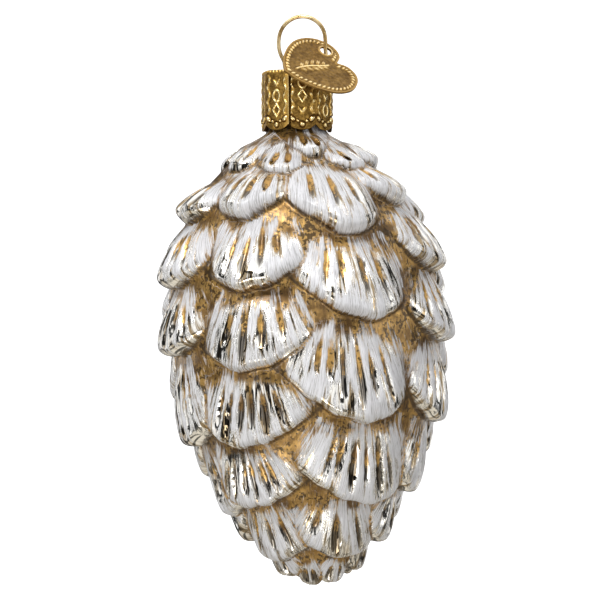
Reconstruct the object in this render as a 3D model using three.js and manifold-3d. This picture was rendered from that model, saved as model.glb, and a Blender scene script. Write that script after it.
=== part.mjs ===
// A hand-blown glass pine cone ornament: a hollow glass cone with puffed scales, a stamped cap over its
// neck, a bent spring-wire hanger and a heart-shaped tag threaded on the wire.
// Millimetres, +Z up. The origin is the top of the inside of the hanging loop, where a hook carries the
// ornament. The loop's centre is on X = 0, and the front faces -Y.
import * as THREE from 'three';
import * as BufferGeometryUtils from 'three/addons/utils/BufferGeometryUtils.js';
import Module from 'manifold-3d';

const wasm = await Module();
wasm.setup();

// Driving dimensions
const CLEARANCE = 0.3;

const WIRE_RADIUS = 0.4;
const LOOP_RADIUS = 4.8;
const LOOP_TURN = 14;
const LEG_SPREAD = 1.8;
const LEG_END = { spread: 3.8, z: -25 };

const CAP_X = -1;
const CAP_TOP = -10.7;
const CAP_HEIGHT = 12;
const CAP_RADIUS = 7.2;
const CAP_WALL = 0.4;
const CAP_SHOULDER = 0.8;
const CAP_PANELS = 8;
const CAP_PANEL_TURN = 9;
const CAP_FLATNESS = 0.55;
const CAP_NOTCH = 1.1;

const GLASS_WALL = 0.8;
const GLASS_LEAN = 0.044;
const NECK_TOP = -15.6;
const SCALE_HEIGHT = 4;
const SCALE_OVERLAP = 1.14;

const TAG_THICKNESS = 0.4;
const TAG_HOLE_RADIUS = 1.2;
const TAG_HOLE = { along: 12.7, across: 3.8 };
const TAG_HOLE_Z = -6.8;

// The glass body's outline under its scales, from the neck's mouth to the tip, as radius and height
const GLASS_OUTLINE = [
  [5.6, NECK_TOP],
  [5.6, -21.6],
  [6.3, -23.05],
  [10.4, -25.6],
  [14.8, -30],
  [20.2, -36],
  [24.2, -44],
  [26.3, -56],
  [25.9, -69],
  [23, -82],
  [17.4, -94],
  [11.4, -104],
  [7.6, -108.6],
  [4, -111.4],
  [0, -112.6],
];

// The scales. A crown of small ones runs round the shoulder: each has its turn from the front, in degrees,
// the depth of its lip below the origin and how far it stands out.
const CROWN = [
  [-51, 31.5, 1.5], [-13, 32.7, 1.8], [12, 28.9, 1.8], [43, 31.9, 2.3], [80, 30.5, 2.5], [113, 32, 1.8],
  [146, 30, 1.8], [179, 31.8, 1.8], [212, 30.2, 1.8], [244, 32.2, 1.5], [276, 30.8, 1.2],
];
// Under them stand columns of full scales. A column has the depth of its top; each of its scales has the
// depth of its lip, its turn and half its width. The lowest point of the lip lies off the middle, by this
// share of half the width.
const COLUMNS = [
  { tip: -0.1, top: 33, lips: [[41.5, -69, 21], [54.2, -71, 25], [67.3, -72, 26], [84.8, -74, 26],
    [98.6, -76, 27]] },
  { tip: -0.2, top: 31, lips: [[41.3, -26, 20], [54.9, -20, 22], [69.9, -21, 24], [84.3, -27, 28],
    [96.3, -36, 33], [107.3, -38, 40]] },
  { tip: 0.25, top: 30, lips: [[44.3, 16, 24], [60.3, 20, 24], [79.5, 17, 28], [95.3, 25, 36],
    [106.3, 18, 44]] },
  { tip: 0.2, top: 29, lips: [[38, 56, 20], [50.8, 71, 25], [64.4, 73, 26], [80, 73, 26], [93.8, 75, 26],
    [103.6, 70, 30]] },
  { tip: -0.2, top: 31, lips: [[42.5, 112, 20], [56, 113, 21.5], [72, 113, 21.5], [87, 114, 22.5],
    [100.5, 117, 26]] },
  { tip: 0.2, top: 30, lips: [[37.5, 147, 20], [49, 148, 21.5], [65, 148, 21.5], [81, 149, 22.5],
    [95.5, 152, 25], [105, 155, 30]] },
  { tip: -0.2, top: 31, lips: [[42.5, 182, 20], [56.5, 183, 21.5], [73, 183, 21.5], [89, 185, 23],
    [101, 188, 26], [108.5, 196, 34]] },
  { tip: 0.2, top: 30, lips: [[38, 217, 20], [49, 217, 21.5], [64, 217, 21.5], [80.5, 219, 22],
    [95, 222, 25], [105, 234, 32]] },
  { tip: -0.2, top: 33, lips: [[40, 250, 18], [50, 250, 19.5], [61.5, 250, 19.5], [77.5, 251, 20],
    [92, 254, 23], [104, 270, 30]] },
];
// A bud of seven small scales closes the tip: the turn and the depth of each lip
const BUD = [[-52, 110.2], [-12, 111.6], [30, 111.2], [75, 109.2], [124, 110.6], [187, 111], [250, 110.4]];

// Mesh fineness
const GLASS_DIVISIONS = 76;
const GLASS_ROWS = 47;
const INNER_ROWS = 22;
const CAP_DIVISIONS = 64;

const radians = THREE.MathUtils.degToRad;
const { clamp } = THREE.MathUtils;

// Turns a closed soup of triangles into a geometry that holds each corner once
function weld(geometry) {
  const bare = geometry.index ? geometry.toNonIndexed() : geometry.clone();
  for (const name of Object.keys(bare.attributes)) {
    if (name !== 'position') bare.deleteAttribute(name);
  }
  return BufferGeometryUtils.mergeVertices(bare, 1e-4);
}

function toSolid(geometry) {
  const welded = weld(geometry);
  const vertProperties = new Float32Array(welded.attributes.position.array);
  const triVerts = new Uint32Array(welded.index.array);
  return new wasm.Manifold(new wasm.Mesh({ numProp: 3, vertProperties, triVerts }));
}

function toGeometry(solid) {
  const mesh = solid.getMesh();
  const geometry = new THREE.BufferGeometry();
  geometry.setAttribute('position', new THREE.BufferAttribute(mesh.vertProperties, 3));
  geometry.setIndex(new THREE.BufferAttribute(mesh.triVerts, 1));
  return geometry;
}

// Joins rings of points into a closed skin. A ring may hold half as many points as the one before it,
// and a ring of one point is a pole.
function skin(rings) {
  const corners = [];
  const put = (...points) => points.forEach((p) => corners.push(p.x, p.y, p.z));
  for (let k = 0; k + 1 < rings.length; k += 1) {
    const [from, to] = [rings[k], rings[k + 1]];
    const most = Math.max(from.length, to.length);
    const near = (i) => from[Math.floor((i % most) * from.length / most)];
    const far = (i) => to[Math.floor((i % most) * to.length / most)];
    for (let i = 0; i < most; i += 1) {
      if (near(i) !== near(i + 1)) put(near(i), far(i), near(i + 1));
      if (far(i) !== far(i + 1)) put(far(i), far(i + 1), near(i + 1));
    }
  }
  const geometry = new THREE.BufferGeometry();
  geometry.setAttribute('position', new THREE.Float32BufferAttribute(corners, 3));
  return weld(geometry);
}

// A point of a round body, by its turn from the front, its distance from the axis and its height
function around(turn, radius, z, axisX) {
  return new THREE.Vector3(axisX + radius * Math.sin(turn), -radius * Math.cos(turn), z);
}

// The outline as a smooth curve, looked up by the length along it
const outline = new THREE.CatmullRomCurve3(
  GLASS_OUTLINE.map(([radius, z]) => new THREE.Vector3(radius, 0, z)),
  false,
  'centripetal',
);
outline.arcLengthDivisions = 400;
const OUTLINE_LENGTH = outline.getLength();

function outlineAt(length) {
  const u = clamp(length / OUTLINE_LENGTH, 0, 1);
  const point = outline.getPointAt(u);
  const tangent = outline.getTangentAt(u);
  return { radius: Math.max(point.x, 0), z: point.z, normal: { r: -tangent.z, z: tangent.x } };
}

// The length along the outline at which it has sunk to a depth
function lengthAtDepth(depth) {
  let [low, high] = [0, OUTLINE_LENGTH];
  while (high - low > 0.001) {
    const middle = (low + high) / 2;
    if (outlineAt(middle).z > -depth) low = middle;
    else high = middle;
  }
  return low;
}

// One scale, with its size taken from the room round it. The lips of those at the front are more pointed.
function makeScale(turn, depth, room, halfTurn, rise, tip) {
  const lip = lengthAtDepth(depth);
  const { radius } = outlineAt(lip - room * 0.4);
  const halfWide = radians(halfTurn * SCALE_OVERLAP) * radius;
  const bluntness = Math.abs(turn) > 50 ? 2.4 : 1.7;
  return { turn: radians(turn), lip, long: room, halfWide, rise, tip, bluntness };
}

function makeScales() {
  const scales = CROWN.map(([turn, depth, rise]) => makeScale(turn, depth, 8.5, 16, rise, 0));
  for (const { tip, top, lips } of COLUMNS) {
    lips.forEach(([depth, turn, halfTurn], k) => {
      const above = k ? lips[k - 1][0] : top;
      const room = lengthAtDepth(depth) - lengthAtDepth(above);
      const fullness = clamp(outlineAt(lengthAtDepth(depth)).radius / 24, 0, 1);
      const rise = SCALE_HEIGHT * (0.45 + 0.55 * fullness);
      scales.push(makeScale(turn, depth, room, halfTurn, rise, tip));
    });
  }
  return scales.concat(BUD.map(([turn, depth]) => makeScale(turn, depth, 6, 30, 2, 0)));
}

const scales = makeScales();

// How far one scale stands out at a place on the outline: it swells from its arched root under the scale
// above, is fullest near its rounded lip, and drops steeply round the lip and gently at the sides
function scaleHeight(scale, turn, length, radius) {
  const above = scale.lip - length;
  const gap = Math.atan2(Math.sin(turn - scale.turn), Math.cos(turn - scale.turn));
  const across = gap * radius / scale.halfWide;
  const side = Math.abs(across);
  if (above < 0 || above > scale.long || side >= 1) return 0;
  const overLip = above - scale.long * 0.38 * Math.abs(across - scale.tip) ** scale.bluntness;
  const fromRoot = 1 - 0.15 * side ** 2.5 - above / scale.long;
  if (overLip <= 0 || fromRoot <= 0) return 0;
  const lipRound = Math.min(3.2, scale.long * 0.32);
  const edge = Math.sqrt(1 - (1 - Math.min(overLip / lipRound, 1)) ** 2);
  const taper = 1 - 0.2 * (above / scale.long) ** 1.5;
  const flank = Math.max(1 - (side / taper) ** 2.6, 0) ** 0.85;
  const swell = Math.sin(Math.min(fromRoot / 0.85, 1) * Math.PI / 2) ** 1.25;
  return scale.rise * edge * flank * swell;
}

function relief(turn, length) {
  const { radius } = outlineAt(length);
  return Math.max(0, ...scales.map((scale) => scaleHeight(scale, turn, length, radius)));
}

// A place on the wall: it stands off the outline along its normal, and the body leans below the cap
function glassPoint(turn, length, height) {
  const { radius, z, normal } = outlineAt(length);
  const out = radius + normal.r * height;
  const up = z + normal.z * height;
  const lean = GLASS_LEAN * Math.max(CAP_TOP - CAP_HEIGHT - up, 0);
  return around(turn, Math.max(out, 0), up, CAP_X + lean);
}

function ringOf(divisions, place) {
  return Array.from({ length: divisions }, (_, i) => place(i * 2 * Math.PI / divisions, i));
}

function makeGlass() {
  const outer = [];
  for (let row = 0; row < GLASS_ROWS; row += 1) {
    const length = OUTLINE_LENGTH * row / GLASS_ROWS;
    outer.push(ringOf(GLASS_DIVISIONS, (turn) => glassPoint(turn, length, relief(turn, length))));
  }
  outer.push([glassPoint(0, OUTLINE_LENGTH, 0.6)]);

  // The wall follows the scales inside too, and stays thick enough under each dip between them
  const inner = [[glassPoint(0, OUTLINE_LENGTH, -GLASS_WALL)]];
  const rowStep = OUTLINE_LENGTH / INNER_ROWS;
  const turnStep = 4 * Math.PI / GLASS_DIVISIONS;
  const lowest = (turn, length) => Math.min(...[-1, -0.5, 0, 0.5, 1].flatMap((i) => (
    [-1, -0.5, 0, 0.5, 1].map((k) => relief(turn + i * turnStep, length + k * rowStep)))));
  for (let row = INNER_ROWS - 1; row >= 0; row -= 1) {
    const length = rowStep * row;
    const place = (turn) => glassPoint(turn, length, lowest(turn, length) - GLASS_WALL);
    inner.push(ringOf(GLASS_DIVISIONS / 2, place));
  }
  return skin([...inner, ...outer]);
}

// The cap is pressed into shallow panels, so its wall is pulled in a little between their corners
function capRadius(turn, radius) {
  const panel = 2 * Math.PI / CAP_PANELS;
  const offset = turn - radians(CAP_PANEL_TURN);
  const fromCentre = offset - panel * Math.round(offset / panel);
  const flat = Math.cos(panel / 2) / Math.cos(fromCentre);
  return radius * THREE.MathUtils.lerp(1, flat, CAP_FLATNESS);
}

// The lower edge hangs in one scallop for each panel
function capEdge(turn) {
  const panel = 2 * Math.PI / CAP_PANELS;
  const offset = turn - radians(CAP_PANEL_TURN);
  const fromCentre = Math.abs(offset - panel * Math.round(offset / panel)) / (panel / 2);
  return CAP_TOP - CAP_HEIGHT + CAP_NOTCH * fromCentre ** 2.5;
}

function capSide(inset) {
  const radius = CAP_RADIUS - inset;
  const bend = CAP_SHOULDER - inset;
  const top = CAP_TOP - inset;
  const ring = (r, z) => ringOf(CAP_DIVISIONS, (turn) => around(turn, capRadius(turn, r), z, CAP_X));
  const rings = [
    ringOf(CAP_DIVISIONS, (turn) => around(turn, capRadius(turn, radius), capEdge(turn), CAP_X)),
    ring(radius, CAP_TOP - CAP_HEIGHT + 2.2),
  ];
  for (const angle of [0, 30, 60, 90]) {
    const out = radius - bend + bend * Math.cos(radians(angle));
    rings.push(ring(out, top - bend + bend * Math.sin(radians(angle))));
  }
  rings.push([new THREE.Vector3(CAP_X, 0, top)]);
  return rings;
}

function makeCap() {
  let solid = toSolid(skin([...capSide(0).reverse(), ...capSide(CAP_WALL)]));
  for (const side of [-1, 1]) {
    const at = loopPoint(CAP_ACROSS + side * LEG_SPREAD, CAP_TOP);
    const hole = new THREE.CylinderGeometry(WIRE_RADIUS + CLEARANCE, WIRE_RADIUS + CLEARANCE, 4, 12);
    hole.rotateX(Math.PI / 2);
    hole.translate(at.x, at.y, at.z);
    solid = solid.subtract(toSolid(hole));
  }
  return toGeometry(solid);
}

// The hanging loop's plane is turned a little from the front, and its legs close in on the cap's middle
const CAP_ACROSS = CAP_X / Math.cos(radians(LOOP_TURN));

function loopPoint(across, z) {
  const turn = radians(LOOP_TURN);
  return new THREE.Vector3(across * Math.cos(turn), -across * Math.sin(turn), z);
}

function wireRoute() {
  const archZ = WIRE_RADIUS - LOOP_RADIUS;
  const arch = [];
  for (let angle = 180; angle >= 0; angle -= 22.5) {
    const a = radians(angle);
    arch.push([LOOP_RADIUS * Math.cos(a), archZ + LOOP_RADIUS * Math.sin(a)]);
  }
  const inside = (side) => [
    [CAP_ACROSS + side * LEG_END.spread, LEG_END.z],
    [CAP_ACROSS + side * (LEG_END.spread - 0.3), LEG_END.z + 5],
    [CAP_ACROSS + side * (LEG_SPREAD + 1), CAP_TOP - 4.5],
    [CAP_ACROSS + side * LEG_SPREAD, CAP_TOP - 0.8],
    [CAP_ACROSS + side * LEG_SPREAD, CAP_TOP + 0.5],
  ];
  return [
    ...inside(-1), [-3.7, -8.5], [-4.6, -6.5],
    ...arch,
    [LOOP_RADIUS, -6], [LOOP_RADIUS, -7.8], [3.8, -9.1],
    ...inside(1).reverse(),
  ].map(([across, z]) => loopPoint(across, z));
}

function makeWire() {
  const section = new THREE.Shape();
  section.absarc(0, 0, WIRE_RADIUS, 0, 2 * Math.PI);
  const extrudePath = new THREE.CatmullRomCurve3(wireRoute(), false, 'centripetal');
  return weld(new THREE.ExtrudeGeometry(section, { extrudePath, steps: 60, curveSegments: 4 }));
}

// Half of the heart, from its tip to the cleft, along and across its middle line
const HEART_HALF = [
  [0, 0], [1, 2.2], [2.4, 4.1], [4.8, 6.3], [7.2, 7.7], [9.4, 8.15],
  [11.6, 7.9], [13.6, 6.7], [14.9, 5], [15.2, 3.3], [14.7, 1.5], [13, 0],
];

function makeTag() {
  const near = HEART_HALF.map(([u, v]) => [u, -v]);
  const far = HEART_HALF.slice(1, -1).reverse();
  const heart = new THREE.Shape([...near, ...far].map(([u, v]) => (
    new THREE.Vector2(u - TAG_HOLE.along, v - TAG_HOLE.across))));
  const hole = new THREE.Path();
  hole.absarc(0, 0, TAG_HOLE_RADIUS, 0, 2 * Math.PI, true);
  heart.holes.push(hole);
  const options = { depth: TAG_THICKNESS, bevelEnabled: false, curveSegments: 6 };
  const plate = new THREE.ExtrudeGeometry(heart, options);
  plate.translate(0, 0, -TAG_THICKNESS / 2);
  return weld(plate);
}

// The tag leans back on the cap's shoulder: its middle line runs right and back, its face front and up
function tagPose() {
  const along = new THREE.Vector3(0.792, 0.587, 0.169).normalize();
  const face = new THREE.Vector3(0.33, -0.644, 0.691);
  const across = new THREE.Vector3().crossVectors(face, along).normalize();
  face.crossVectors(along, across);
  return new THREE.Matrix4().makeBasis(along, across, face);
}

// Finishes
const silvered = new THREE.MeshStandardMaterial({ color: 0xd9d7d2, roughness: 0.15, metalness: 0.8 });
const stamped = new THREE.MeshStandardMaterial({ color: 0x9a7430, roughness: 0.35, metalness: 1 });
const brightWire = new THREE.MeshStandardMaterial({ color: 0xc4a468, roughness: 0.25, metalness: 1 });
const tagMetal = new THREE.MeshStandardMaterial({ color: 0x8a6526, roughness: 0.4, metalness: 1 });

function named(name, geometry, material) {
  const mesh = new THREE.Mesh(geometry, material);
  mesh.name = name;
  return mesh;
}

const ornament = new THREE.Group();
ornament.add(named('glass_cone', makeGlass(), silvered));
ornament.add(named('cap', makeCap(), stamped));
ornament.add(named('hook_wire', makeWire(), brightWire));
const tag = named('tag', makeTag(), tagMetal);
tag.applyMatrix4(tagPose());
tag.position.copy(loopPoint(LOOP_RADIUS, TAG_HOLE_Z));
ornament.add(tag);

export default ornament;
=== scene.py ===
import math

import bpy
import numpy as np
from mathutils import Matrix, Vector, noise


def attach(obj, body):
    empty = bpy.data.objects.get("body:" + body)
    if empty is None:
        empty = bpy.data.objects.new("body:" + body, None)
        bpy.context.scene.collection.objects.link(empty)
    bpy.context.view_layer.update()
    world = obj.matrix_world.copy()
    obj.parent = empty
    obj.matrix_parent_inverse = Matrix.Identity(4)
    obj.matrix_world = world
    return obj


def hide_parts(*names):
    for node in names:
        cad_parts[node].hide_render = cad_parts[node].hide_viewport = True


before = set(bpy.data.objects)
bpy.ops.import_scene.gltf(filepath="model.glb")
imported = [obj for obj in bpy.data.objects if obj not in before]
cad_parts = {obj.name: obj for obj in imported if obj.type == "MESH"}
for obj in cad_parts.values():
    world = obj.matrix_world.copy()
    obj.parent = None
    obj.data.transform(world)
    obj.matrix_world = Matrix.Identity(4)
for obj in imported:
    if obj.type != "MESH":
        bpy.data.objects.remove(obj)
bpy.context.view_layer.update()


# THE GLASS CONE
# One thin bubble of clear glass, blown into a mould that gives it its puffed scales and its neck. It is
# silvered on the inside, washed outside with gold-brown lacquer that stays in the hollows, and brushed
# with white paint down the faces of the scales.
MM = 0.001
# The cone's axis beside the loop's middle, and its slight lean to the right below the cap
AXIS_X = -1.0
LEAN_START = -22.7
LEAN = 0.044
# The wall between the scales, as radius and height from the neck's mouth to the tip
NECK_FOOT = 21.6
GLASS_PROFILE = [
    (5.6, -15.6), (5.6, -NECK_FOOT), (6.3, -23.05), (10.4, -25.6), (14.8, -30.0), (20.2, -36.0),
    (24.2, -44.0), (26.3, -56.0), (25.9, -69.0), (23.0, -82.0), (17.4, -94.0), (11.4, -104.0),
    (7.6, -108.6), (4.0, -111.4), (0.0, -112.6),
]
NECK_INSIDE = [(0, -21.0), (2.4, -21.0), (4.6, -20.8), (4.7, -18.0), (4.8, -15.8), (5.2, -15.55)]
# The scales of the crown: turn, depth of the lip, and rise
CROWN_SCALES = [
    (-51, 31.5, 1.5), (-13, 32.7, 1.8), (12, 28.9, 1.8), (43, 31.9, 2.3), (80, 30.5, 2.5), (113, 32.0, 1.8),
    (146, 30.0, 1.8), (179, 31.8, 1.8), (212, 30.2, 1.8), (244, 32.2, 1.5), (276, 30.8, 1.2),
]
CROWN_LONG, CROWN_HALF_TURN = 8.5, 16
# The columns below it: how far across each scale its tip is, the column's top, and for each lip its
# depth, its turn and half the turn that it spans
SCALE_COLUMNS = [
    (-0.1, 33, [(41.5, -69, 21), (54.2, -71, 25), (67.3, -72, 26), (84.8, -74, 26), (98.6, -76, 27)]),
    (-0.2, 31, [
        (41.3, -26, 20), (54.9, -20, 22), (69.9, -21, 24), (84.3, -27, 28), (96.3, -36, 33), (107.3, -38, 40),
    ]),
    (0.25, 30, [(44.3, 16, 24), (60.3, 20, 24), (79.5, 17, 28), (95.3, 25, 36), (106.3, 18, 44)]),
    (0.2, 29, [
        (38.0, 56, 20), (50.8, 71, 25), (64.4, 73, 26), (80.0, 73, 26), (93.8, 75, 26), (103.6, 70, 30),
    ]),
    (-0.2, 31, [
        (42.5, 112, 20), (56.0, 113, 21.5), (72.0, 113, 21.5), (87.0, 114, 22.5), (100.5, 117, 26),
    ]),
    (0.2, 30, [
        (37.5, 147, 20), (49.0, 148, 21.5), (65.0, 148, 21.5), (81.0, 149, 22.5), (95.5, 152, 25),
        (105.0, 155, 30),
    ]),
    (-0.2, 31, [
        (42.5, 182, 20), (56.5, 183, 21.5), (73.0, 183, 21.5), (89.0, 185, 23), (101.0, 188, 26),
        (108.5, 196, 34),
    ]),
    (0.2, 30, [
        (38.0, 217, 20), (49.0, 217, 21.5), (64.0, 217, 21.5), (80.5, 219, 22), (95.0, 222, 25),
        (105.0, 234, 32),
    ]),
    (-0.2, 33, [
        (40.0, 250, 18), (50.0, 250, 19.5), (61.5, 250, 19.5), (77.5, 251, 20), (92.0, 254, 23),
        (104.0, 270, 30),
    ]),
]
# The small scales of the bud at the tip: turn and depth of the lip
BUD_SCALES = [
    (-52, 110.2), (-12, 111.6), (30, 111.2), (75, 109.2), (124, 110.6), (187, 111.0), (250, 110.4),
]
BUD_LONG, BUD_HALF_TURN, BUD_RISE = 6.0, 30, 2.0
# How the mould shapes a scale: its greatest rise and the radius where it reaches it, its overlap with its
# neighbours, how it narrows towards its root, its lip's curve, ripple and droop, and its flutes' depth
PUFF = 3.75
FULL_RADIUS = 24
SCALE_OVERLAP = 1.14
SCALE_TAPER = 0.2
SCALE_FAN = 0.45
LIP_CURVE = 0.38
LIP_RIPPLE = 0.28
LIP_DROOP = 0.3
FLUTE_DEEP = 0.95


def blown_curve(corners, steps=24):
    """Close places on the smooth curve that passes through the profile's corners."""
    p = [np.array(q, float) for q in corners]
    p = [2 * p[0] - p[1], *p, 2 * p[-1] - p[-2]]
    places = []
    for a, b, c, d in zip(p, p[1:], p[2:], p[3:]):
        t = [0.0]
        for q, r in ((a, b), (b, c), (c, d)):
            t.append(t[-1] + np.linalg.norm(r - q) ** 0.5)
        for x in np.linspace(t[1], t[2], steps, endpoint=False):
            ab = a + (b - a) * (x - t[0]) / (t[1] - t[0])
            bc = b + (c - b) * (x - t[1]) / (t[2] - t[1])
            cd = c + (d - c) * (x - t[2]) / (t[3] - t[2])
            abc = ab + (bc - ab) * (x - t[0]) / (t[2] - t[0])
            bcd = bc + (cd - bc) * (x - t[1]) / (t[3] - t[1])
            places.append(abc + (bcd - abc) * (x - t[1]) / (t[2] - t[1]))
    places.append(p[-2])
    return np.array(places)


glass_curve = blown_curve(GLASS_PROFILE)
glass_run = np.concatenate([[0], np.cumsum(np.linalg.norm(np.diff(glass_curve, axis=0), axis=1))])


def profile_at(run):
    """Radius and height on the profile, and its direction there, at a run from the neck's mouth."""
    def read(column, at):
        return np.interp(at, glass_run, glass_curve[:, column])

    dr, dz = (read(column, run + 0.2) - read(column, run - 0.2) for column in (0, 1))
    size = np.hypot(dr, dz)
    return read(0, run), read(1, run), dr / size, dz / size


def run_at(depth):
    return float(np.interp(depth, -glass_curve[:, 1], glass_run))


def ease(low, high, x):
    """A soft rise from nought to one as x goes from low to high."""
    t = np.clip((x - low) / (high - low), 0, 1)
    return t * t * (3 - 2 * t)


def mould_scale(turn, depth, long, half_turn, rise, tip, flutes):
    radius = float(profile_at(run_at(depth) - long * 0.4)[0])
    return {
        "turn": math.radians(turn), "depth": depth, "lip": run_at(depth), "long": long, "rise": rise,
        "half": math.radians(half_turn * SCALE_OVERLAP) * radius, "tip": tip, "flutes": flutes,
        "blunt": 2.4 if abs(turn) > 50 else 1.7,
    }


def flute_count(depth, half_turn):
    if depth < 48 or depth > 100:
        return 3
    return 4 if half_turn < 25 else 6


glass_scales = [
    mould_scale(turn, depth, CROWN_LONG, CROWN_HALF_TURN, rise, 0, 2) for turn, depth, rise in CROWN_SCALES
]
for lip_tip, top, column in SCALE_COLUMNS:
    for (lip_above, _, _), (lip_depth, lip_turn, lip_half) in zip([(top, 0, 0), *column], column):
        full = min(float(profile_at(run_at(lip_depth))[0]) / FULL_RADIUS, 1)
        glass_scales.append(mould_scale(
            lip_turn, lip_depth, run_at(lip_depth) - run_at(lip_above), lip_half, PUFF * (0.45 + 0.55 * full),
            lip_tip, flute_count(lip_depth, lip_half),
        ))
glass_scales += [
    mould_scale(turn, depth, BUD_LONG, BUD_HALF_TURN, BUD_RISE, 0, 2) for turn, depth in BUD_SCALES
]


def puff_scale(number, scale, turn, run, radius):
    """How far one scale stands out over the places given, and where its flutes, lip and flanks are."""
    rng = np.random.default_rng(100 + number)
    above = scale["lip"] - run
    across = np.arctan2(np.sin(turn - scale["turn"]), np.cos(turn - scale["turn"])) * radius
    side = np.abs(across) / scale["half"]
    along = np.clip(above / scale["long"], 0, 1)
    taper = 1 - SCALE_TAPER * along ** 1.5
    fan = across / (scale["half"] * (1 - SCALE_FAN * along))
    lip_curve = scale["long"] * LIP_CURVE * np.abs(across / scale["half"] - scale["tip"]) ** scale["blunt"]
    flutes = scale["flutes"]
    ripple = np.cos(fan * math.pi * (flutes + 1) / 1.5 + (flutes + 1) % 2 * math.pi)
    over = above - lip_curve + LIP_RIPPLE * ripple * (1 - side.clip(0, 1))
    lip_round = min(3.2, scale["long"] * 0.32)
    edge = np.sin(np.clip(over / lip_round, 0, 1) * math.pi / 2) ** 0.75
    flank = np.clip(1 - (side / taper) ** 2.6, 0, 1) ** 0.85
    root = 1 - 0.15 * side.clip(0, 1) ** 2.5 - above / scale["long"]
    swell = np.sin(np.clip(root / 0.85, 0, 1) * math.pi / 2) ** 1.25
    inside = (over > 0) & (root > 0) & (side < 1)
    miss = np.maximum(np.maximum(side - 1, -over / lip_round), -root * scale["long"] / 6)
    body = np.where(inside, edge * flank * swell, 0)
    dents = np.zeros_like(turn)
    for k in range(flutes):
        middle = (k - (flutes - 1) / 2) * 1.5 / flutes + rng.uniform(-0.05, 0.05)
        start = rng.uniform(0.17, 0.34) * scale["long"]
        end = rng.uniform(0.74, 0.92) * scale["long"]
        fat = start + (end - start) * 0.4
        lengthwise = np.where(over < fat, (fat - over) / (fat - start), (over - fat) / (end - fat))
        width = rng.uniform(0.6, 1.0) * (1 - 0.2 * abs(middle))
        sideways = (fan - middle) * scale["half"] * (1 - SCALE_FAN * along) / width
        dents = np.maximum(dents, np.clip(1 - lengthwise ** 2 - sideways ** 2, 0, 1) ** 0.6)
    return {
        "stand": scale["rise"] * body, "dents": dents * np.minimum(body * 2, 1), "miss": miss,
        "inside": inside, "body": body, "root": root, "over": over, "side": side / taper,
        "fan": fan * scale["half"], "above": above,
    }


def glass_relief(turn, run):
    """The relief of all the scales over the places given, with what the finishes need to follow it."""
    radius = profile_at(run)[0]
    keys = ("stand", "dents", "body", "root", "over", "side", "fan", "above", "miss")
    found = {key: np.zeros_like(turn) for key in (*keys, "next", "depth")}
    found["miss"] += 9
    found["number"] = np.full_like(turn, -1.0)
    best = np.full_like(turn, -9.0)
    for number, scale in enumerate(glass_scales):
        near = np.flatnonzero(
            (np.abs(run - scale["lip"] + scale["long"] / 2) < scale["long"] / 2 + 5)
            & (np.cos(turn - scale["turn"]) > 0.3)
        )
        puff = puff_scale(number, scale, turn[near], run[near], radius[near])
        score = np.where(puff["inside"], puff["stand"], -puff["miss"])
        wins = score > best[near]
        best[near[wins]] = score[wins]
        found["next"][near] = np.where(
            wins, found["stand"][near], np.maximum(found["next"][near], puff["stand"] * puff["inside"])
        )
        for key in keys:
            found[key][near[wins]] = puff[key][wins]
        found["number"][near[wins]] = number
        found["depth"][near[wins]] = scale["depth"]
    return found


def start_ball(name, segments, rings):
    """A ball to shape into a thin-walled piece, with its vertices' places and the ring that each is in."""
    bpy.ops.object.select_all(action="DESELECT")
    bpy.ops.mesh.primitive_uv_sphere_add(segments=segments, ring_count=rings, radius=1)
    piece = bpy.context.object
    piece.name = name
    places = np.empty(len(piece.data.vertices) * 3)
    piece.data.vertices.foreach_get("co", places)
    places = places.reshape(-1, 3)
    ring = np.rint(np.arccos(np.clip(places[:, 2], -1, 1)) / math.pi * rings).astype(int)
    return piece, places, ring


def turn_from_front(places):
    on_axis = np.hypot(places[:, 0], places[:, 1]) < 1e-6
    return np.where(on_axis, 0, np.arctan2(places[:, 0], -places[:, 1]))


def shape_ball(piece, places):
    piece.data.vertices.foreach_set("co", (places * MM).ravel())
    piece.data.update()


def mark(piece, name, values):
    """Keep one number, or three, at each vertex for the finish to follow."""
    kind, field = ("FLOAT_VECTOR", "vector") if values.ndim == 2 else ("FLOAT", "value")
    layer = piece.data.attributes.new(name, kind, "POINT")
    layer.data.foreach_set(field, values.astype(np.float32).ravel())


# The rings of vertices: in all, inside the neck, and down the outside of it
GLASS_RINGS = 258
INSIDE_RINGS = 6
NECK_RINGS = 8
glass, places, ring = start_ball("blown_glass", 384, GLASS_RINGS)
turn = turn_from_front(places)
neck_share = np.clip((ring - INSIDE_RINGS) / NECK_RINGS, 0, 1)
body_share = np.clip((ring - INSIDE_RINGS - NECK_RINGS) / (GLASS_RINGS - INSIDE_RINGS - NECK_RINGS), 0, 1)
neck_run = run_at(NECK_FOOT)
body_run = neck_run + body_share * (glass_run[-1] - neck_run)
run = np.where(ring < INSIDE_RINGS + NECK_RINGS, neck_share * neck_run, body_run)
relief = glass_relief(turn, run)
radius, height, lean_r, lean_z = profile_at(run)
spots = np.stack([radius * np.sin(turn), -radius * np.cos(turn), height], 1)
ripples = np.array([
    0.15 * noise.noise(Vector(s) / 3.6) + 0.06 * noise.noise(Vector(s) / 1.1 + Vector((9, 4, 7)))
    for s in spots
])
stand = relief["stand"] - FLUTE_DEEP * relief["dents"] + ripples * np.minimum(relief["body"] + 0.25, 1)
stand = stand * ease(7.5, 11, run) * (1 - ease(glass_run[-1] - 1.5, glass_run[-1], run))
out_r = radius - lean_z * stand + lean_r * stand * LIP_DROOP
out_z = height + lean_r * stand + lean_z * stand * LIP_DROOP
for k, (r, z) in enumerate(NECK_INSIDE):
    out_r = np.where(ring == k, r, out_r)
    out_z = np.where(ring == k, z, out_z)
out_r = np.where(ring >= GLASS_RINGS, 0, np.maximum(out_r, 0))
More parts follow.
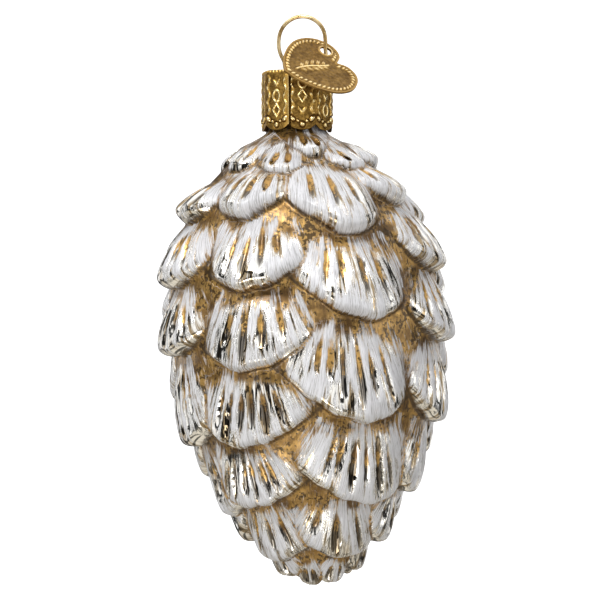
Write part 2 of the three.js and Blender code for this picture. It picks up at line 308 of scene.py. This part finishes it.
places[:, 0] = AXIS_X + LEAN * np.maximum(LEAN_START - out_z, 0) + out_r * np.sin(turn)
places[:, 1] = -out_r * np.cos(turn)
places[:, 2] = out_z
shape_ball(glass, places)
bpy.ops.object.shade_smooth()

# Where the brush reaches, more thinly on the flanks, on the lower lips and on the left side
low_down = ease(35, 95, relief["depth"])
near_cap = 1 - ease(14, 26, run)
covered = (
    (1 - 0.68 * ease(0.75, 1.15, relief["side"])) * ease(-0.28, 0.2, relief["root"])
    * ease(-0.6 + 0.9 * low_down, 1.1 + 1.9 * low_down, relief["over"])
)
covered = covered * (1 - 0.2 * ease(0.45, 0.85, -np.sin(turn)))
covered = np.maximum(covered, 0.75 * near_cap)
# Where the lacquer gathers; and painted shade, partly a real brown stain, under the lips and down the side
# valleys
crease = (1 - ease(0.15, 1.1, relief["stand"] - relief["next"])) * ease(0.0, 0.5, relief["next"])
hollow = np.maximum(1 - ease(0.02, 0.38, relief["body"]), 0.7 * (1 - ease(0.0, 0.55, relief["root"])))
hollow = np.maximum(hollow, crease)
stained = relief["dents"] * (1 - ease(0.3, 0.75, relief["root"]))
# Painted shadow: a dark line along each lip's edge, standing in for the shade and dark reflection there
lip_edge_shadow = (1 - ease(0.2, 0.8, np.abs(relief["over"] - 0.1))) * (relief["miss"] < 0.1)
# Painted shade under each lip and in the side valleys between scales, mixed with a real brown stain there
under_lip = 1 - ease(0.02, 0.22, relief["root"])
painted_shade_and_stain = np.maximum(under_lip * 0.6, ease(0.8, 1.05, relief["side"]) * ease(0.1, 0.3, relief["root"]))
mark(glass, "covered", covered)
mark(glass, "hollow", hollow)
mark(glass, "flute", relief["dents"])
mark(glass, "stained", stained)
mark(glass, "painted_shade_and_stain", painted_shade_and_stain)
mark(glass, "lip_edge_shadow", lip_edge_shadow)
# Where each bristle runs: fanned out over its own scale, and straight down across them all
SCALE_APART = 3.7
SWEEP_RADIUS = 22
mark(glass, "strokes", np.stack([relief["fan"], relief["above"], relief["number"] * SCALE_APART], 1))
mark(glass, "sweep", np.stack([SWEEP_RADIUS * np.sin(turn), SWEEP_RADIUS * np.cos(turn), run], 1))


class Finish:
    """A finish made of nodes; each method adds one and returns its outcome for the next to use."""

    def __init__(self, owner):
        owner.use_nodes = True
        self.owner = owner
        self.tree = owner.node_tree
        self.surface = self.tree.nodes.get("Principled BSDF") or self.tree.nodes["Background"]

    def node(self, kind, **settings):
        made = self.tree.nodes.new("ShaderNode" + kind)
        for key, value in settings.items():
            setattr(made, key, value)
        return made

    def feed(self, socket, value):
        if isinstance(value, bpy.types.NodeSocket):
            self.tree.links.new(value, socket)
        elif isinstance(value, tuple) and len(value) == 3 and socket.type == "RGBA":
            socket.default_value = (*value, 1)
        else:
            socket.default_value = value

    def give(self, name, value):
        self.feed(self.surface.inputs[name], value)

    def follow(self, name, outcome="Fac"):
        return self.node("Attribute", attribute_name=name).outputs[outcome]

    def place(self):
        return self.node("TexCoord").outputs["Object"]

    def reckon(self, kind, a, b=0.0):
        made = self.node("Math", operation=kind)
        self.feed(made.inputs[0], a)
        self.feed(made.inputs[1], b)
        return made.outputs[0]

    def plus(self, a, b):
        return self.reckon("ADD", a, b)

    def minus(self, a, b):
        return self.reckon("SUBTRACT", a, b)

    def times(self, a, b):
        return self.reckon("MULTIPLY", a, b)

    def between(self, low, high, value):
        made = self.node("MapRange", interpolation_type="SMOOTHSTEP")
        self.feed(made.inputs["Value"], value)
        self.feed(made.inputs["From Min"], low)
        self.feed(made.inputs["From Max"], high)
        return made.outputs["Result"]

    def grain(self, where, stretch, detail, rough):
        moved = self.node("Mapping")
        self.feed(moved.inputs["Vector"], where)
        self.feed(moved.inputs["Scale"], stretch)
        made = self.node("TexNoise")
        self.feed(made.inputs["Vector"], moved.outputs[0])
        self.feed(made.inputs["Scale"], 1.0)
        self.feed(made.inputs["Detail"], detail)
        self.feed(made.inputs["Roughness"], rough)
        return made.outputs["Fac"]

    def uneven(self, level, *grains):
        """A level with each grain added round its middle, as strongly as its weight says."""
        for grain, weight in grains:
            level = self.plus(level, self.times(self.minus(grain, 0.5), weight))
        return level

    def mix(self, kind, wanted, share, a, b):
        made = self.node("Mix", data_type=kind)
        ends = [s for s in made.inputs if s.type == wanted and s.name in "AB"]
        self.feed(made.inputs["Factor"], share)
        self.feed(ends[0], a)
        self.feed(ends[1], b)
        return [s for s in made.outputs if s.type == wanted][0]

    def tint(self, share, a, b):
        """Colour a, with a share of colour b over it."""
        return self.mix("RGBA", "RGBA", share, a, b)

    def shift(self, share, a, b):
        """Number a, moved by a share towards number b."""
        return self.mix("FLOAT", "VALUE", share, a, b)

    def dent(self, height, strength, distance):
        made = self.node("Bump")
        self.feed(made.inputs["Strength"], strength)
        self.feed(made.inputs["Distance"], distance)
        self.feed(made.inputs["Height"], height)
        self.give("Normal", made.outputs[0])


coat = Finish(bpy.data.materials.new("silvered_glass_gold_and_white"))
where = coat.place()
strokes = coat.follow("strokes", "Vector")
sweep = coat.follow("sweep", "Vector")
covered, hollow, flute = coat.follow("covered"), coat.follow("hollow"), coat.follow("flute")
stained, painted_shade_and_stain, lip_edge_shadow = coat.follow("stained"), coat.follow("painted_shade_and_stain"), coat.follow("lip_edge_shadow")
height = coat.node("SeparateXYZ")
coat.feed(height.inputs[0], where)
upper = coat.between(-0.065, -0.03, height.outputs["Z"])
lower = coat.between(-0.05, -0.105, height.outputs["Z"])
tip = coat.between(-0.094, -0.110, height.outputs["Z"])
patch = coat.grain(strokes, (0.17, 0.13, 1.0), 2, 0.5)
broad = coat.grain(strokes, (1.0, 0.12, 1.0), 3, 0.6)
bristle = coat.grain(strokes, (5.0, 0.3, 1.0), 4, 0.7)
hair = coat.grain(sweep, (3.2, 3.2, 0.22), 4, 0.75)
cloud = coat.grain(where, (150, 150, 150), 3, 0.5)
blotch = coat.grain(where, (300, 300, 300), 4, 0.65)
speck = coat.grain(where, (1300, 1300, 1300), 3, 0.6)

# White paint, brushed on down each scale so that it breaks into bristle marks
paint = coat.times(covered, 0.8)
paint = coat.uneven(paint, (patch, 2.5), (broad, 1.9), (bristle, 0.9), (hair, 1.1), (blotch, 0.7))
paint = coat.minus(paint, coat.times(flute, 1.3))
paint = coat.plus(paint, coat.times(upper, 0.03))
white_share = coat.times(coat.between(0.48, 0.98, paint), 0.97)
white_thin = coat.tint(lower, (0.5, 0.49, 0.5), (0.62, 0.61, 0.61))
white = coat.tint(coat.between(0.36, 0.56, bristle), white_thin, (0.93, 0.93, 0.96))

# Gold-brown lacquer, thick in the hollows, thinning to a brown stain on the rising glass
lacquer = coat.uneven(hollow, (blotch, 0.9), (bristle, 1.1), (hair, 0.8), (patch, 0.5))
lacquer = coat.plus(lacquer, coat.times(stained, 0.75))
lacquer = coat.plus(lacquer, coat.times(upper, 0.1))
lacquer = coat.minus(lacquer, coat.times(lower, 0.16))
gold_share = coat.between(0.36, 0.72, lacquer)
gold = coat.tint(coat.between(0.34, 0.62, blotch), (0.28, 0.15, 0.035), (0.68, 0.41, 0.12))
gold = coat.tint(coat.times(coat.between(0.5, 0.36, cloud), 0.85), gold, (0.12, 0.06, 0.015))
# Painted shade: the gold darkens to brown-black under the lips and in the side valleys, partly a real brown
# stain
gold = coat.tint(coat.times(painted_shade_and_stain, coat.between(0.62, 0.4, hair)), gold, (0.09, 0.05, 0.02))
flecked = coat.uneven(coat.times(painted_shade_and_stain, -0.08), (speck, 1.6), (blotch, -1.1), (patch, 0.4))
flecked = coat.plus(flecked, 0.49)
gold = coat.tint(coat.times(coat.between(0.36, 0.3, flecked), 0.85), gold, (0.035, 0.02, 0.008))

# The silver lining, seen bare: warm, stained in places, and with painted shade and dark reflection down in
# the flutes
silver = coat.tint(coat.between(0.42, 0.6, blotch), (0.90, 0.88, 0.83), (0.82, 0.80, 0.76))
silver = coat.tint(coat.between(0.5, 0.38, broad), silver, (0.32, 0.24, 0.14))
# Painted shade and dark reflection: the bare silver goes near black down in the flutes
silver = coat.tint(coat.times(coat.between(0.3, 0.8, flute), 0.88), silver, (0.06, 0.045, 0.03))
silver = coat.tint(coat.times(tip, coat.between(0.4, 0.6, hair)), silver, (0.16, 0.13, 0.09))

colour = coat.tint(gold_share, silver, gold)
colour = coat.tint(white_share, colour, white)
# Painted shadow and dark reflection: a near-black line, broken by the hairs, along each lip
colour = coat.tint(coat.times(lip_edge_shadow, coat.between(0.32, 0.52, hair)), colour, (0.08, 0.05, 0.022))
coat.give("Base Color", colour)
coat.give("Metallic", coat.shift(white_share, coat.shift(gold_share, 1.0, 0.6), 0.0))
coat.give("Roughness", coat.shift(white_share, coat.shift(gold_share, 0.05, 0.36), 0.45))
coat.give("Coat Weight", 0.2)
coat.give("Coat Roughness", 0.08)
thick = coat.times(white_share, coat.plus(0.3, bristle))
thick = coat.plus(thick, coat.times(blotch, 0.4))
thick = coat.plus(thick, coat.times(broad, 0.8))
coat.dent(thick, 0.4, 0.0002)
glass.data.materials.append(coat.owner)
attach(glass, "ornament")
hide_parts("glass_cone")


# THE HANGING WIRE
# One length of springy brass wire, bent to a loop: its two legs go down through the cap's top and spread
# against the inside of the glass neck, which is all that holds cap and cone together.
WIRE_THICK = 0.8
LOOP_RADIUS = 4.8
LOOP_MIDDLE = -4.4
LOOP_TURN = math.radians(14)
LEG_FROM_AXIS = 1.8
CAP_ACROSS = AXIS_X / math.cos(LOOP_TURN)
leg = [(3.8, -25), (3.5, -20), (2.8, -15.2), (LEG_FROM_AXIS, -11.5), (LEG_FROM_AXIS, -10.2)]
arch = [
    (-LOOP_RADIUS * math.cos(a), LOOP_MIDDLE + LOOP_RADIUS * math.sin(a))
    for a in np.radians(np.arange(0, 181, 22.5))
]
route = [(CAP_ACROSS - spread, z) for spread, z in leg] + [(-3.7, -8.5), (-4.6, -6.5)] + arch
route += [(LOOP_RADIUS, -6), (LOOP_RADIUS, -7.8), (3.8, -9.1)]
route += [(CAP_ACROSS + spread, z) for spread, z in reversed(leg)]
route = blown_curve([(x * math.cos(LOOP_TURN), -x * math.sin(LOOP_TURN), z) for x, z in route], 9)
bpy.ops.object.select_all(action="DESELECT")
bpy.ops.curve.primitive_nurbs_path_add()
wire = bpy.context.object
wire.name = "spring_wire"
wire.data.splines.clear()
bent = wire.data.splines.new("POLY")
bent.points.add(len(route) - 1)
for point, place in zip(bent.points, route):
    point.co = (*(place * MM), 1)
wire.data.bevel_depth = WIRE_THICK / 2 * MM
wire.data.bevel_resolution = 4
wire.data.use_fill_caps = True
bpy.ops.object.convert(target="MESH")
bpy.ops.object.shade_smooth_by_angle(angle=math.radians(50))
drawn = Finish(bpy.data.materials.new("drawn_brass_wire"))
where = drawn.place()
tarnish = drawn.grain(where, (420, 420, 300), 3, 0.6)
die_lines = drawn.grain(where, (2600, 2600, 500), 2, 0.5)
bright = drawn.tint(drawn.between(0.38, 0.64, tarnish), (0.42, 0.27, 0.10), (0.86, 0.68, 0.38))
drawn.give("Base Color", bright)
drawn.give("Metallic", 1.0)
drawn.give("Roughness", drawn.shift(tarnish, 0.16, 0.42))
drawn.dent(die_lines, 0.25, 0.00005)
wire.data.materials.append(drawn.owner)
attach(wire, "ornament")
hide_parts("hook_wire")


# THE CAP
# A cap of thin brass-coloured sheet, rolled into eight shallow panels and embossed all over with wavy lines,
# ovals, lozenges and beads. Its lower edge is scalloped, and it slips over the neck as far as the shoulder.
CAP_TOP = -10.7
CAP_DEEP = 12.0
CAP_WIDE = 7.2
CAP_SHEET = 0.4
CAP_BEND = 0.8
LEG_HOLE_WIDE = 1.4
PANEL = math.pi / 4
FIRST_PANEL = math.radians(9)
PANEL_FLAT = 0.55
SCALLOP = 1.1
CAP_BEADS = 54
SEAM_TURN = math.radians(-12.8)
# How far down each panel its three motifs are, and the beads along its scallop: across, down and radius
MOTIF_ROWS = (2.55, 5.3, 8.05)
EDGE_BEADS = [
    (-2.05, 10.2, 0.5), (2.05, 10.2, 0.5), (0.0, 10.95, 0.46), (-0.95, 10.35, 0.26), (0.95, 10.35, 0.26),
]
EMBOSSED = 0.2

# The section that is swept round: out over the top, down the side, round the edge and back up inside
cap_rings = [(r, CAP_TOP, 0, 1) for r in (0, 0.8, 1.6, 2.4, 3.2, 4.0, 4.6, 5.1, 5.45)]
cap_rings += [(r, CAP_TOP, 0, 1) for r in np.linspace(5.6, 6.3, 8)]
for bend in np.radians(np.linspace(0, 90, 10)):
    out, up = math.sin(bend), math.cos(bend)
    cap_rings.append((CAP_WIDE - CAP_BEND + CAP_BEND * out, CAP_TOP - CAP_BEND + CAP_BEND * up, out, up))
cap_rings += [(CAP_WIDE, z, 1, 0) for z in np.linspace(CAP_TOP - CAP_BEND, CAP_TOP - CAP_DEEP, 101)[1:]]
edge_ring = len(cap_rings) - 1
cap_rings += [(CAP_WIDE - CAP_SHEET * s, CAP_TOP - CAP_DEEP, 0, 0) for s in (0.3, 0.7, 1.0)]
cap_rings += [(CAP_WIDE - CAP_SHEET, z, 0, 0) for z in (-21, -19, -17, -15, -13, -12)]
cap_rings += [(r, CAP_TOP - CAP_SHEET, 0, 0) for r in (6.3, 4, 2, 0)]
cap, places, ring = start_ball("embossed_cap", 384, len(cap_rings) - 1)
turn = turn_from_front(places)
out_r, out_z, face_r, face_z = np.array(cap_rings, float)[ring].T
panel = np.rint((turn - FIRST_PANEL) / PANEL)
off_middle = turn - FIRST_PANEL - panel * PANEL
sideways = off_middle * CAP_WIDE
down = CAP_TOP - out_z


def ridge(distance, width):
    """The rounded section of an embossed line, at a distance from its middle."""
    return np.sqrt(np.clip(1 - (distance / width) ** 2, 0, 1))


def waves(x, y, side):
    line = side * 2.05 + 0.26 * np.sin(y * 2.1 + side + panel * 1.7)
    swell = 0.75 + 0.25 * np.sin(y * 4.2 + panel)
    return ridge(x - line, 0.27) * swell * ease(0.9, 1.3, y) * (1 - ease(9.0, 9.4, y))


def oval(x, y, middle):
    return ridge(np.hypot(x / 0.78, (y - middle) / 1.12) - 1, 0.27)


def lozenge(x, y, middle):
    return ridge(np.abs(x) / 0.85 + np.abs(y - middle) / 1.25 - 1, 0.26)


def leaf_pair(x, y, middle):
    leaves = []
    for side in (-1, 1):
        crosswise = (x * side * 0.8 + (y - middle) * 0.6 - 0.35) / 0.3
        lengthwise = (y - middle) * 0.8 - x * side * 0.6
        leaves.append(ridge(np.hypot(crosswise, lengthwise), 1.0))
    return np.maximum(*leaves) * 0.9


def bead(x, y, x0, y0, size):
    """A round bead, with the fine hollow that the punch leaves about it."""
    distance = np.hypot(x - x0, y - y0)
    return ridge(distance, size) * 1.5 - 0.5 * ridge(distance - size * 1.35, size * 0.3)


raised = np.maximum(waves(sideways, down, -1), waves(sideways, down, 1))
for place_in_column, middle in enumerate(MOTIF_ROWS):
    for kind, motif in enumerate((oval, lozenge, leaf_pair)):
        chosen = (panel + place_in_column) % 3 == kind
        raised = np.where(chosen, np.maximum(raised, motif(sideways, down, middle)), raised)
for x0, y0, size in EDGE_BEADS:
    raised = raised + bead(sideways, down, x0, y0, size)
round_top = np.mod(turn * CAP_BEADS / (2 * math.pi), 1) - 0.5
round_bend = CAP_BEND * np.arctan2(face_r, face_z) + np.where(face_r == 0, out_r - CAP_WIDE + CAP_BEND, 0)
round_bend = round_bend + np.where(face_z == 0, down - CAP_BEND, 0)
top_bead = ridge(np.hypot(round_top * 2 * math.pi * 6.9 / CAP_BEADS / 0.32, (round_bend - 0.78) / 0.36), 1.0)
raised = raised + np.where(down < 2, top_bead * 0.8, 0)
from_seam = (turn - SEAM_TURN) * CAP_WIDE
on_side = ease(0.8, 1.4, down)
lap = np.where(from_seam < 0, np.exp(from_seam / 0.5), 0) * 0.9 - 1.3 * ridge(from_seam - 0.16, 0.2)
lapped = lap * on_side + raised * (1 - np.abs(lap).clip(0, 1))
raised = np.where((from_seam > -1.2) & (from_seam < 0.4), lapped, raised)
hammered = np.array([
    noise.noise(Vector(p)) for p in np.stack([np.sin(turn) * 6, np.cos(turn) * 6, out_z * 0.8], 1)
])
grained = np.array([
    noise.noise(Vector(p)) for p in np.stack([np.sin(turn) * 26, np.cos(turn) * 26, out_z * 3.6], 1)
])
stand = EMBOSSED * raised + 0.07 * hammered + 0.03 * grained
outside = ring <= edge_ring
stand = np.where(outside, stand, 0)
cut = -off_middle / (PANEL / 2)
flat = math.cos(PANEL / 2) / np.cos(off_middle)
out_r = out_r * (1 + PANEL_FLAT * (flat - 1))
low = ease(0.45, 1.0, down / CAP_DEEP) * (out_z < CAP_TOP - CAP_BEND)
out_z = out_z + SCALLOP * np.abs(cut) ** 2.5 * low
places[:, 0] = AXIS_X + (out_r + face_r * stand) * np.sin(turn)
places[:, 1] = -(out_r + face_r * stand) * np.cos(turn)
places[:, 2] = out_z + face_z * stand
shape_ball(cap, places)
mark(cap, "raised", np.where(outside, raised, -0.5))
bpy.ops.object.shade_smooth()


def punch_hole(piece, wide, spot, tilt, sides):
    """Punch a round hole through the sheet."""
    bpy.ops.object.select_all(action="DESELECT")
    bpy.ops.mesh.primitive_cylinder_add(
        vertices=sides, radius=wide / 2 * MM, depth=3 * MM, location=spot, rotation=tilt
    )
    punch = bpy.context.object
    bpy.ops.object.select_all(action="DESELECT")
    bpy.context.view_layer.objects.active = piece
    piece.select_set(True)
    hole = piece.modifiers.new("hole", "BOOLEAN")
    hole.operation = "DIFFERENCE"
    hole.object = punch
    bpy.ops.object.modifier_apply(modifier="hole")
    bpy.data.objects.remove(punch)


for side in (-1, 1):
    across = CAP_ACROSS + side * LEG_FROM_AXIS
    spot = (across * math.cos(LOOP_TURN) * MM, -across * math.sin(LOOP_TURN) * MM, CAP_TOP * MM)
    punch_hole(cap, LEG_HOLE_WIDE, spot, (0, 0, 0), 40)


def stamped_brass(name, deep, flat_colour, worn_and_highlight, grain_size):
    """Brass-coloured sheet: brown in its hollows, worn bright on what stands out, that brightest tone partly
    a painted highlight.
    """
    brass = Finish(bpy.data.materials.new(name))
    where = brass.place()
    cloud = brass.grain(where, (grain_size / 4,) * 3, 3, 0.6)
    fine = brass.grain(where, (grain_size,) * 3, 3, 0.65)
    level = brass.uneven(brass.follow("raised"), (cloud, 0.5), (fine, 0.5))
    tone = brass.tint(brass.between(-0.25, 0.35, level), deep, flat_colour)
    # Painted highlight, partly real wear: the raised relief is lifted to a bright pale gold
    tone = brass.tint(brass.between(0.5, 0.95, level), tone, worn_and_highlight)
    brass.give("Base Color", tone)
    brass.give("Metallic", 1.0)
    brass.give("Roughness", brass.shift(brass.between(0.2, 0.9, level), 0.46, 0.22))
    brass.dent(fine, 0.35, 0.00006)
    return brass.owner


cap.data.materials.append(stamped_brass(
    "embossed_brass", (0.08, 0.038, 0.008), (0.55, 0.33, 0.08), (1.0, 0.80, 0.40), 2400
))
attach(cap, "ornament")
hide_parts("cap")


# THE HEART TAG
# A heart stamped from the same thin sheet, with a plain lip, a rope of small beads inside it and a raised
# sprig. It is threaded on the wire's right leg through its round hole, and swings there.
HEART_HALF = [
    (0, 0), (1, 2.2), (2.4, 4.1), (4.8, 6.3), (7.2, 7.7), (9.4, 8.15), (11.6, 7.9), (13.6, 6.7), (14.9, 5),
    (15.2, 3.3), (14.7, 1.5), (13, 0),
]
HEART_MIDDLE = 7.5
TAG_THICK = 0.4
TAG_HOLE = (12.7, 3.8)
TAG_HOLE_WIDE = 2.4
TAG_AT = Vector((LOOP_RADIUS * math.cos(LOOP_TURN), -LOOP_RADIUS * math.sin(LOOP_TURN), -6.8))
ROPE_PITCH = 1.02
ROPE_FROM_EDGE = 0.95
# The sprig's leaves: where each pair leaves the stem, and its length
SPRIG_LEAVES = [(3.9, 1.5), (5.2, 1.9), (6.5, 2.0), (7.8, 1.7), (9.1, 1.3)]
LEAF_LEAN = math.radians(48)

# The heart's outline, as reach and run round its middle
half = blown_curve(HEART_HALF, 16)
heart = np.concatenate([half[:-1], (half * (1, -1))[::-1][:-1]])
heart_turn = np.mod(np.unwrap(np.arctan2(heart[:, 1], heart[:, 0] - HEART_MIDDLE)), 2 * math.pi)
heart_reach = np.hypot(heart[:, 1], heart[:, 0] - HEART_MIDDLE)
order = np.argsort(heart_turn)
heart_steps = np.linalg.norm(np.diff(heart, axis=0, append=heart[:1]), axis=1)
heart_run = np.concatenate([[0], np.cumsum(heart_steps)])
tag_beads = round(heart_run[-1] / ROPE_PITCH)

tag_rings = [(s, 1) for s in np.linspace(0, 1, 60) ** 0.85] + [(1.0, 0.3), (1.0, -0.3)]
tag_rings += [(s, -1) for s in np.linspace(1, 0, 30)]
tag, places, ring = start_ball("heart_tag", 360, len(tag_rings) - 1)
turn = np.mod(np.arctan2(places[:, 1], places[:, 0]), 2 * math.pi)
share, sheet_side = np.array(tag_rings, float)[ring].T
reach = np.interp(turn, heart_turn[order], heart_reach[order], period=2 * math.pi)
u = HEART_MIDDLE + share * reach * np.cos(turn)
v = share * reach * np.sin(turn)
inward = np.full(len(u), 99.0)
beside = np.zeros(len(u))
for a, b, start, size in zip(heart, np.roll(heart, -1, axis=0), heart_run, heart_steps):
    along = np.clip(((u - a[0]) * (b - a)[0] + (v - a[1]) * (b - a)[1]) / size ** 2, 0, 1)
    away = np.hypot(u - a[0] - along * (b - a)[0], v - a[1] - along * (b - a)[1])
    nearer = away < inward
    inward = np.where(nearer, away, inward)
    beside = np.where(nearer, start + along * size, beside)
rope = np.mod((beside + (inward - ROPE_FROM_EDGE) * 0.5) * tag_beads / heart_run[-1], 1) - 0.5
pitch = heart_run[-1] / tag_beads
rope_beads = ridge(np.hypot(rope * pitch / 0.4, (inward - ROPE_FROM_EDGE) / 0.46), 1.0)
raised = 0.5 * ridge(inward, 0.42) + rope_beads
stem = 0.35 * np.sin((u - 2.5) * 0.55)
raised = np.maximum(raised, ridge(v - stem, 0.24) * ease(2.6, 3.0, u) * (1 - ease(10.6, 11.2, u)))
for at, long in SPRIG_LEAVES:
    for side in (-1, 1):
        du, dv = u - at - 0.3 * (side > 0), side * (v - 0.35 * math.sin((at - 2.5) * 0.55))
        lengthwise = du * math.cos(LEAF_LEAN) + dv * math.sin(LEAF_LEAN)
        crosswise = -du * math.sin(LEAF_LEAN) + dv * math.cos(LEAF_LEAN)
        leaf = ridge(np.hypot((lengthwise - long / 2 - 0.2) / (long / 2), crosswise / 0.4), 1.0)
        raised = np.maximum(raised, 0.95 * leaf - 0.35 * ridge(crosswise, 0.12) * (leaf > 0))
from_hole = np.hypot(u - TAG_HOLE[0], v - TAG_HOLE[1])
raised = np.where(from_hole < 2.0, np.minimum(raised, 0.2), raised) + 0.7 * ridge(from_hole - 1.35, 0.3)
grained = np.array([noise.noise(Vector((a * 1.6, b * 1.6, 3.0))) for a, b in zip(u, v)])
stand = EMBOSSED * raised + 0.05 * grained
back_stand = np.where(sheet_side == -1, 0.5 * stand, 0)
w = np.where(sheet_side == 1, TAG_THICK / 2 + stand, sheet_side * TAG_THICK / 2 + back_stand)
# It leans on the front of the cap's top edge, its point in front to the left and one lobe low to the right
tag_along = Vector((0.792, 0.587, 0.169)).normalized()
tag_across = Vector((0.33, -0.644, 0.691)).cross(tag_along).normalized()
tag_face = tag_along.cross(tag_across)
basis = np.array([tag_along, tag_across, tag_face])
places = np.array(TAG_AT) + np.stack([u - TAG_HOLE[0], v - TAG_HOLE[1], w], 1) @ basis
shape_ball(tag, places)
mark(tag, "raised", np.where(sheet_side == 1, raised, 0.2 - raised * 0.4))
bpy.ops.object.shade_smooth_by_angle(angle=math.radians(60))
punch_hole(tag, TAG_HOLE_WIDE, TAG_AT * MM, tag_face.to_track_quat("Z", "Y").to_euler(), 48)
tag.data.materials.append(stamped_brass(
    "stamped_heart_brass", (0.10, 0.05, 0.012), (0.40, 0.24, 0.07), (1.0, 0.76, 0.38), 1500
))
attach(tag, "tag")
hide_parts("tag")


# THE STUDIO
# A pale floor under the hanging ornament, curving up all round it, a tent of tall soft lights that the
# silver mirrors, three lamps, and the camera of the photograph.
FLOOR_HEIGHT = -2.2
LOOKED_AT = Vector((0, 0, -0.056))
bpy.ops.object.select_all(action="DESELECT")
bpy.ops.mesh.primitive_uv_sphere_add(segments=64, ring_count=32, radius=2.4, location=(0, 0, 1.9))
floor = bpy.context.object
floor.name = "pale_floor"
for vertex in floor.data.vertices:
    vertex.co.z = max(vertex.co.z, FLOOR_HEIGHT)
floor.data.transform(floor.matrix_world)
floor.location = (0, 0, 0)
floor.visible_glossy = False
floor.visible_diffuse = False
floor.visible_shadow = False
paper = Finish(bpy.data.materials.new("floor_paper"))
paper.give("Base Color", (0.9, 0.9, 0.9))
paper.give("Emission Color", (1.0, 1.0, 1.0))
paper.give("Emission Strength", 0.8)
floor.data.materials.append(paper.owner)

# The tent: five upright panels, with a bright top over them, and seven slanting panels of a warmer tone
# below, each set off by a dark gap
bpy.context.scene.world = bpy.data.worlds.new("tent_of_soft_lights")
tent = Finish(bpy.context.scene.world)
facing = tent.node("SeparateXYZ")
tent.feed(facing.inputs[0], tent.node("TexCoord").outputs["Generated"])
x, y, z = facing.outputs
compass = tent.reckon("ARCTAN2", x, tent.times(y, -1.0))
panels = tent.reckon("SINE", tent.plus(tent.times(compass, 5.0), 0.5))
low_panels = tent.reckon("SINE", tent.plus(tent.times(compass, 7.0), tent.times(z, 9.0)))
glow = tent.shift(tent.between(-0.2, -0.12, panels), 0.03, 1.1)
glow = tent.shift(tent.between(0.42, 0.46, z), glow, 0.1)
glow = tent.shift(tent.between(0.55, 0.6, z), glow, 1.25)
glow = tent.shift(tent.between(-0.28, -0.32, z), glow, 0.08)
low_glow = tent.shift(tent.between(-0.6, -0.4, low_panels), 0.12, 0.78)
glow = tent.shift(tent.between(-0.38, -0.42, z), glow, low_glow)
glow = tent.times(glow, tent.shift(tent.node("LightPath").outputs["Is Diffuse Ray"], 1.0, 0.5))
tent.give("Color", tent.tint(tent.between(-0.36, -0.4, z), (1.0, 1.0, 1.0), (1.0, 0.93, 0.80)))
tent.give("Strength", glow)


def soft_light(name, spot, size, watts):
    lamp = bpy.data.lights.new(name, "AREA")
    lamp.shape = "RECTANGLE"
    lamp.size, lamp.size_y = size
    lamp.energy = watts
    stand = bpy.data.objects.new(name, lamp)
    bpy.context.collection.objects.link(stand)
    stand.location = spot
    stand.rotation_euler = (LOOKED_AT - Vector(spot)).to_track_quat("-Z", "Y").to_euler()


soft_light("key_light", (-0.35, -0.5, 0.55), (0.3, 0.3), 3.6)
soft_light("fill_light", (0.65, -0.35, 0.1), (0.2, 0.6), 0.9)
soft_light("low_light", (-0.25, -0.55, -0.4), (0.35, 0.25), 1.3)

lens = bpy.data.cameras.new("camera")
lens.lens = 135
lens.sensor_width = 36
lens.clip_start = 0.01
camera = bpy.data.objects.new("camera", lens)
bpy.context.collection.objects.link(camera)
camera.location = (-0.0004, -0.45, -0.0563)
camera.rotation_euler = (math.pi / 2, 0, 0)
bpy.context.scene.camera = camera
bpy.context.scene.view_settings.view_transform = "Standard"
